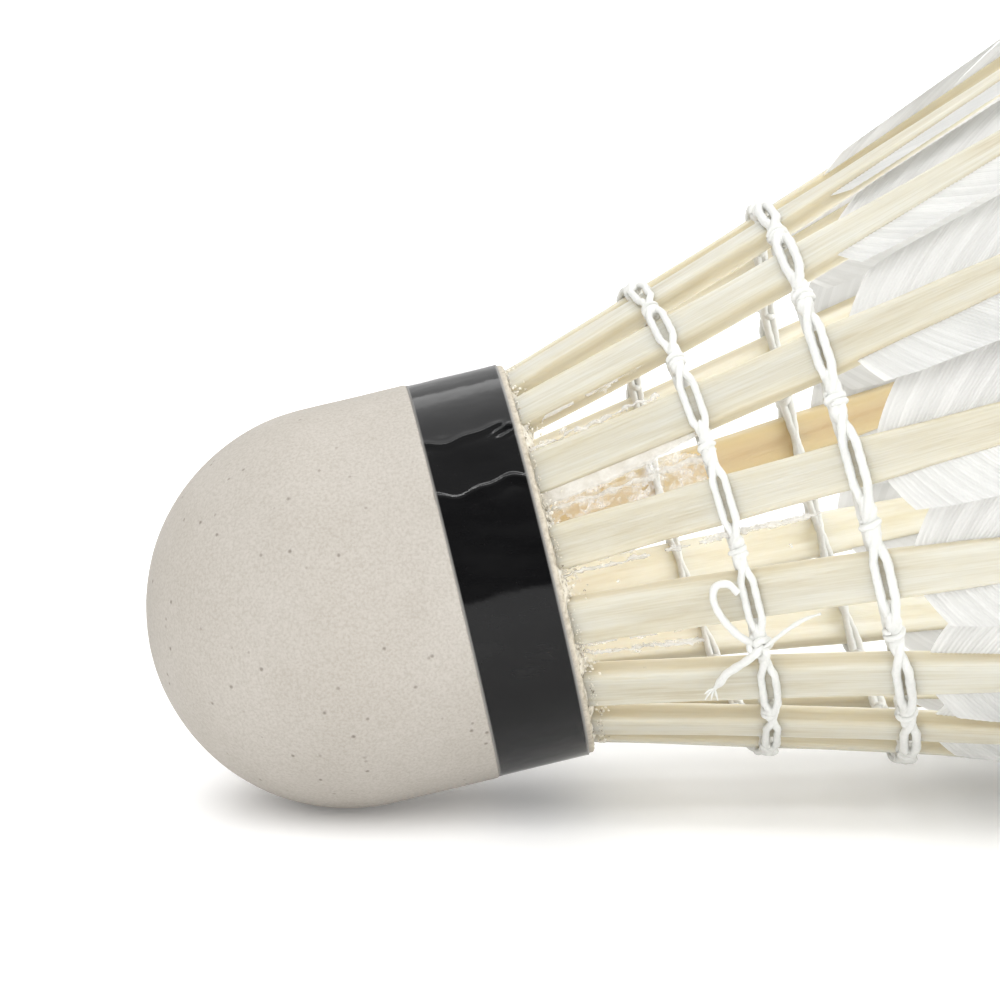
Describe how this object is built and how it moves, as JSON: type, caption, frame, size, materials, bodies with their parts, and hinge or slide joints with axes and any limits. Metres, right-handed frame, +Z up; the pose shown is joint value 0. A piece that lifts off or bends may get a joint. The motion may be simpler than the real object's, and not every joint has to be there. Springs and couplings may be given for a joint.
{
  "type": "badminton shuttlecock",
  "caption": "Feather badminton shuttlecock lying at rest: round-nosed covered cork with a tape band and a flared skirt of feathers tied by two rows of thread.",
  "frame": {"origin": "the point on the resting plane under the middle of the bounding box", "axes": "+Z up from the plane it lies on, +X from the cork's nose towards the feather tips, level with the plane"},
  "size_m": [0.0928, 0.065, 0.063],
  "materials": {
    "cork": "agglomerated cork, matte",
    "cover": "thin matte skin with fine pits",
    "tape": "black glossy tape, slightly wrinkled",
    "glue": "clear set glue, crystalline",
    "quill": "cream feather shaft, faint long grain",
    "vane": "white feather barbs, slightly translucent",
    "thread": "white twisted thread set in glue"
  },
  "bodies": {
    "root": {"cork_body": "cork", "cork_nose": "cork", "cork_cover": "cover", "base_tape": "tape", "base_glue": "glue", "thread_row_lower": "thread", "thread_row_upper": "thread", "quill_01": "quill", "vane_01": "vane", "quill_02": "quill", "vane_02": "vane", "quill_03": "quill", "vane_03": "vane", "quill_04": "quill", "vane_04": "vane", "quill_05": "quill", "vane_05": "vane", "quill_06": "quill", "vane_06": "vane", "quill_07": "quill", "vane_07": "vane", "quill_08": "quill", "vane_08": "vane", "quill_09": "quill", "vane_09": "vane", "quill_10": "quill", "vane_10": "vane", "quill_11": "quill", "vane_11": "vane", "quill_12": "quill", "vane_12": "vane", "quill_13": "quill", "vane_13": "vane", "quill_14": "quill", "vane_14": "vane", "quill_15": "quill", "vane_15": "vane", "quill_16": "quill", "vane_16": "vane"}
  },
  "joints": []
}
